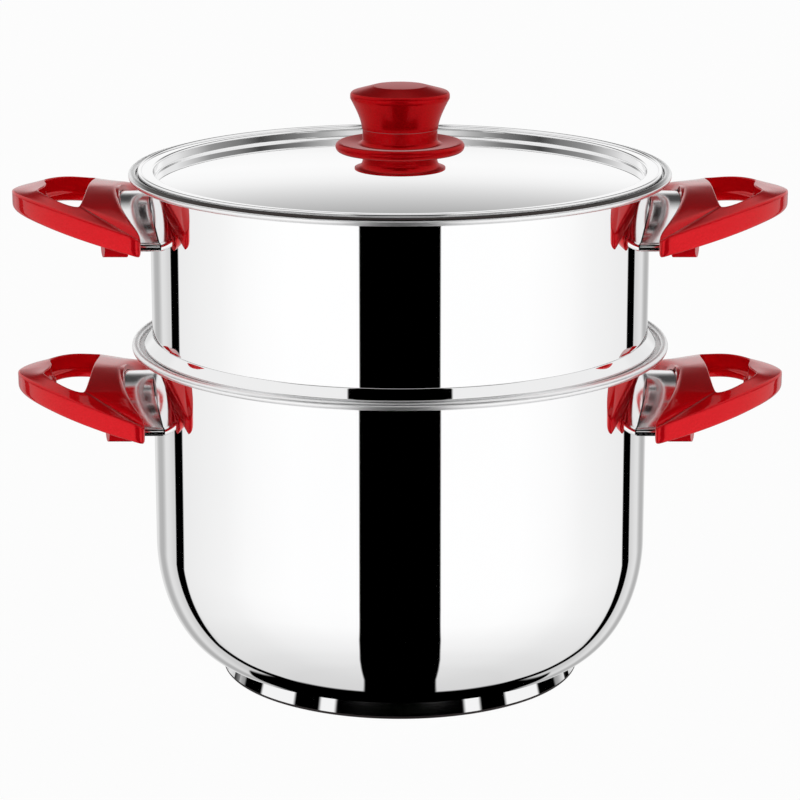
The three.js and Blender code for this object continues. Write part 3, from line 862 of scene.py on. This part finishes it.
def grip_loop():
    """The grip without its sleeve: one section after another around the finger hole."""
    vertices = []
    size = 0
    for i in range(GRIP_STATIONS):
        angle = 2 * math.pi * (i + 0.5) / GRIP_STATIONS
        side = -1 if angle > math.pi else 1
        turn = min(angle, 2 * math.pi - angle)
        hole = hole_edge(turn)
        edge = rounded_edge(turn)
        ridge, band_top, band_foot, hole_foot = grip_heights(turn, hole, outer_edge(turn))
        width = (edge - hole).length
        across = (edge - hole) / width
        past_tip = min(max((turn - TIP_TURN) / TIP_SPAN, 0.0), 1.0)
        section = rounded_section([
            (-LIP_REACH, hole_foot, RIDGE_ROUND),
            (-LIP_REACH, hole_foot + LIP_HEIGHT, RIDGE_ROUND),
            (0, hole_foot + LIP_HEIGHT + LIP_REACH / 2, RIDGE_ROUND),
            (0, ridge, RIDGE_ROUND),
            (width, band_top, EDGE_ROUND + (POT_SIDE_ROUND - EDGE_ROUND) * past_tip),
            (width, band_foot, FOOT_ROUND),
        ])
        size = len(section)
        for point in section:
            place = hole + across * point.x
            vertices.append((place.x * MM, side * place.y * MM, point.y * MM))
    faces = []
    for i in range(GRIP_STATIONS):
        j = (i + 1) % GRIP_STATIONS
        for k in range(size):
            m = (k + 1) % size
            faces.append([i * size + k, i * size + m, j * size + m, j * size + k])
    mesh = bpy.data.meshes.new("grip_loop")
    mesh.from_pydata(vertices, [], faces)
    return finish_mesh(mesh)


bracket_mesh = arch_mesh("bracket", 0.0, WALL_RADIUS + CLEARANCE, BRACKET_END)
sleeve_mesh = arch_mesh("sleeve", CLEARANCE + SLEEVE_WALL, GRIP_NEAR, SLEEVE_END)
socket_mesh = arch_mesh("socket", CLEARANCE, WALL_RADIUS, BRACKET_END + CLEARANCE)
grip_mesh = boolean(boolean(grip_loop(), sleeve_mesh, "UNION"), socket_mesh, "DIFFERENCE")
finish_mesh(grip_mesh)
bracket_mesh.materials.append(bracket_steel)
grip_mesh.materials.clear()
grip_mesh.materials.append(grip_lacquer)

crown_heights = {"pot": POT_HEIGHT - POT_HANDLE_DROP, "steamer": STEAMER_TOP - STEAMER_HANDLE_DROP}
for tier, crown_height in crown_heights.items():
    for hand, turn in (("right", 0.0), ("left", math.pi)):
        place = Matrix.Translation((0, 0, crown_height * MM)) @ Matrix.Rotation(turn, 4, "Z")
        name = f"{tier}_{hand}"
        add_piece(name + "_arch", bracket_mesh, [], tier, [name + "_bracket"], place)
        add_piece(name + "_handle", grip_mesh, [], tier, [name + "_grip"], place)
        dress(name + "_screw", zinc_metal)

dress("base_core", core_metal)
dress("knob_insert", brass_metal)
dress("knob_washer", zinc_metal)
dress("knob_screw", zinc_metal)

# Studio

def floor_material():
    """Matte white that the camera sees as almost plain white, with a faint shadow."""
    material = bpy.data.materials.new("studio_floor")
    material.use_nodes = True
    graph = Nodes(material.node_tree)
    matte = graph.add("ShaderNodeBsdfDiffuse")
    matte.inputs["Color"].default_value = (0.93, 0.93, 0.93, 1.0)
    white = graph.add("ShaderNodeEmission")
    path = graph.add("ShaderNodeLightPath")
    share = graph.math("MULTIPLY", path.outputs["Is Camera Ray"], FLOOR_GLOW)
    output = graph.add("ShaderNodeOutputMaterial")
    graph.put(graph.shader_mix(share, matte.outputs[0], white.outputs[0]), output.inputs["Surface"])
    return material


def add_floor():
    shape = bmesh.new()
    bmesh.ops.create_circle(shape, cap_ends=True, segments=FLOOR_SIDES, radius=FLOOR_RADIUS)
    mesh = bpy.data.meshes.new("floor")
    shape.to_mesh(mesh)
    shape.free()
    mesh.materials.append(floor_material())
    floor = bpy.data.objects.new("floor", mesh)
    bpy.context.scene.collection.objects.link(floor)
    keep_out_of_reflections(floor)
    floor.visible_diffuse = False


def low_room(graph, rise, around, from_back):
    """Below the horizon: panels, with a dark line and a dark wedge in what is behind."""
    rings = [(0, 0.7), (14, 0.72), (18, 0.57), (21, 0.45), (27, 0.43), (30, 0.52), (34, 0.74), (38, 0.72),
             (43, 0.64), (50, 0.7), (54, 0.83), (84, 0.90), (96, 0.955), (106, 0.98), (118, 1.0),
             (180, 1.0)]
    lows = [(-90, 0.76), (-64, 0.775), (-58, 0.815), (-52, 0.836), (-46, 0.885), (-41, 0.91),
            (-31, 0.98), (-17, 1.0), (90, 1.0)]
    panels = graph.math("MULTIPLY", graph.by_angle(from_back, rings), graph.by_angle(rise, lows))
    back_share = graph.math("MULTIPLY", from_back, 1 / math.pi)

    middles = [(-90, 62), (-58, 55), (-50, 51), (-40, 47.5), (-28, 48), (-17, 49), (90, 49)]
    half_lines = [(-90, 2), (-50, 2), (-40, 1.9), (-30, 3.2), (-20, 4), (90, 4)]
    middle = graph.by_angle(rise, middles, DEGREE_IN_HALF_TURNS)
    half_line = graph.by_angle(rise, half_lines, DEGREE_IN_HALF_TURNS)
    off_line = graph.math("ABSOLUTE", graph.math("SUBTRACT", back_share, middle))
    line = graph.smooth(graph.math("SUBTRACT", off_line, half_line), LINE_EDGE, -LINE_EDGE)

    wedges = [(-90, 110), (-65, 100), (-58, 72), (-54, 60), (-50, 46), (-48, 38), (-45, 29), (-41, 19),
              (-38, 12), (-35, 9), (-29, 6), (-26, 5), (-20, 3.2), (-10, 3.2), (-6, 0), (90, 0)]
    limits = [(-90, 68), (-75, 64), (-65, 60), (-58, 56), (-52, 48), (-48, 43.5), (-40, 40), (90, 40)]
    off_wedge = graph.math("MULTIPLY_ADD", around, -1 / math.pi, 1.0)
    in_wedge = graph.math("SUBTRACT", graph.by_angle(rise, wedges, DEGREE_IN_HALF_TURNS), off_wedge)
    in_limit = graph.math("SUBTRACT", graph.by_angle(rise, limits, DEGREE_IN_HALF_TURNS), back_share)
    wedge_part = graph.smooth(in_wedge, -WEDGE_EDGE, WEDGE_EDGE)
    wedge = graph.math("MULTIPLY", graph.smooth(in_limit, -LIMIT_EDGE, LIMIT_EDGE), wedge_part)
    for dark in (line, wedge):
        panels = graph.math("MULTIPLY", panels, graph.math("SUBTRACT", 1.0, dark))
    return panels


def high_room(graph, rise, around, over):
    """Above the horizon: windows, a ledge and a dark field in front, and a banded sheet behind."""
    windows = [(0, 0.0), (40, 0.0), (42, 0.9), (50.5, 0.9), (52.5, 0.0), (69, 0.0), (71, 0.9),
               (96.5, 0.9), (98.5, 0.0), (115, 0.0), (117, 0.3), (135, 0.4), (150, 0.85), (180, 0.85)]
    ledges = [(0, 0.75), (25, 0.7), (35, 0.45), (50, 0.2), (72, 0.06), (85, 0.2), (105, 0.3),
              (115, 0.5), (135, 0.8), (180, 0.85)]
    window = graph.by_angle(around, windows)
    ledge = graph.by_angle(around, ledges)
    low_front = graph.mix(graph.fade(over, 3.6, 4.2), window, ledge)
    low_front = graph.mix(graph.fade(rise, 12, 14), low_front, 0.8)
    high_front = graph.mix(graph.fade(rise, 44, 52), 0.02, 0.85)
    high_front = graph.mix(graph.fade(around, 50, 70), high_front, 0.85)
    front = graph.mix(graph.fade(rise, 21, 25), low_front, high_front)
    sheets = [(-20, 0.7), (0, 0.72), (2, 0.76), (4.5, 0.85), (6.6, 0.92), (9, 0.947), (10.7, 0.92),
              (12, 0.85), (13.4, 0.716), (14.6, 0.6), (16.3, 0.45), (18, 0.28), (20, 0.15), (24, 0.05),
              (38, 0.05), (48, 0.5), (56, 0.85), (90, 0.85)]
    return graph.mix(graph.fade(around, 150, 160), front, graph.by_angle(rise, sheets))


def front_gap(graph, sideways, front_drop):
    """Dark upright gap between the panels in front, left out where the lid would show it."""
    widths = [(-180, 15), (-60, 15), (-20, 17.6), (20, 17.6), (42, 16.2), (58, 14.4), (68, 12.7),
              (80, 10.4), (100, 7.8), (110, 6), (125, 4), (180, 4)]
    past_gap = graph.math("SUBTRACT", sideways, graph.by_angle(front_drop, widths, DEGREE))
    gap = graph.fade(past_gap, 0.35, -0.35)
    low_or_high = graph.math("MAXIMUM", graph.fade(front_drop, -6, -3), graph.fade(front_drop, -22, -25))
    for reach in (low_or_high, graph.fade(front_drop, -82, -78), graph.fade(front_drop, 160, 140)):
        gap = graph.math("MULTIPLY", gap, reach)
    return gap


def studio_world():
    """White to the camera, soft light for matte surfaces, and a room of panels for shiny ones."""
    world = bpy.data.worlds.new("studio")
    bpy.context.scene.world = world
    world.use_nodes = True
    world.cycles.sampling_method = "NONE"
    graph = Nodes(world.node_tree)
    direction = graph.add("ShaderNodeSeparateXYZ")
    graph.put(graph.add("ShaderNodeTexCoord").outputs["Generated"], direction.inputs[0])
    x, y, z = direction.outputs
    to_front = graph.math("MULTIPLY", y, -1.0)
    down = graph.math("MULTIPLY", z, -1.0)
    rise = graph.math("ARCSINE", z)
    sideways = graph.math("ABSOLUTE", graph.math("ARCSINE", x))
    around = graph.math("ABSOLUTE", graph.math("ARCTAN2", x, to_front))
    front_drop = graph.math("ARCTAN2", down, to_front)
    straight_back = graph.math("MULTIPLY", y, math.cos(FRAME_YAW))
    back_level = graph.math("MULTIPLY_ADD", x, -math.sin(FRAME_YAW), straight_back)
    back_down = graph.math("MULTIPLY", down, math.sin(CAMERA_PITCH))
    back_cosine = graph.math("MULTIPLY_ADD", back_level, math.cos(CAMERA_PITCH), back_down)
    from_back = graph.math("ARCCOSINE", back_cosine)

    horizons = [(0, 5), (50, 2.5), (70, 0.3), (98, -4), (116, -7), (130, -7.5), (180, -7.5)]
    raised = [(at, level + HORIZON_SHIFT) for at, level in horizons]
    raised_view = graph.math("ADD", rise, math.radians(HORIZON_SHIFT))
    over = graph.math("SUBTRACT", raised_view, graph.by_angle(around, raised, DEGREE))
    below = low_room(graph, rise, around, from_back)
    above = high_room(graph, rise, around, over)
    room = graph.mix(graph.fade(over, -1.5, 1.5), below, above)
    gap = front_gap(graph, sideways, front_drop)
    room = graph.math("MULTIPLY", room, graph.math("SUBTRACT", 1.0, gap))

    softs = [(-90, 1.0), (-20, 1.0), (5, 0.95), (30, 0.4), (90, 0.22)]
    soft_light = graph.background(graph.by_angle(rise, softs))
    shine = graph.background(room, SHINE)
    white = graph.background((1.0, 1.0, 1.0, 1.0))
    path = graph.add("ShaderNodeLightPath")
    lit = graph.shader_mix(path.outputs["Is Glossy Ray"], soft_light, shine)
    seen = graph.shader_mix(path.outputs["Is Camera Ray"], lit, white)
    output = graph.add("ShaderNodeOutputWorld")
    graph.put(seen, output.inputs["Surface"])


def add_camera():
    data = bpy.data.cameras.new("camera")
    data.sensor_width = SENSOR
    data.sensor_fit = "HORIZONTAL"
    data.lens = FOCAL_PIXELS * SENSOR / IMAGE_WIDTH
    data.clip_end = CLIP_END
    camera = bpy.data.objects.new("camera", data)
    camera.location = CAMERA_PLACE
    camera.rotation_euler = (math.pi / 2 - CAMERA_PITCH, 0.0, 0.0)
    bpy.context.scene.collection.objects.link(camera)
    bpy.context.scene.camera = camera


add_floor()
studio_world()
add_camera()
bpy.context.scene.view_settings.view_transform = "Standard"
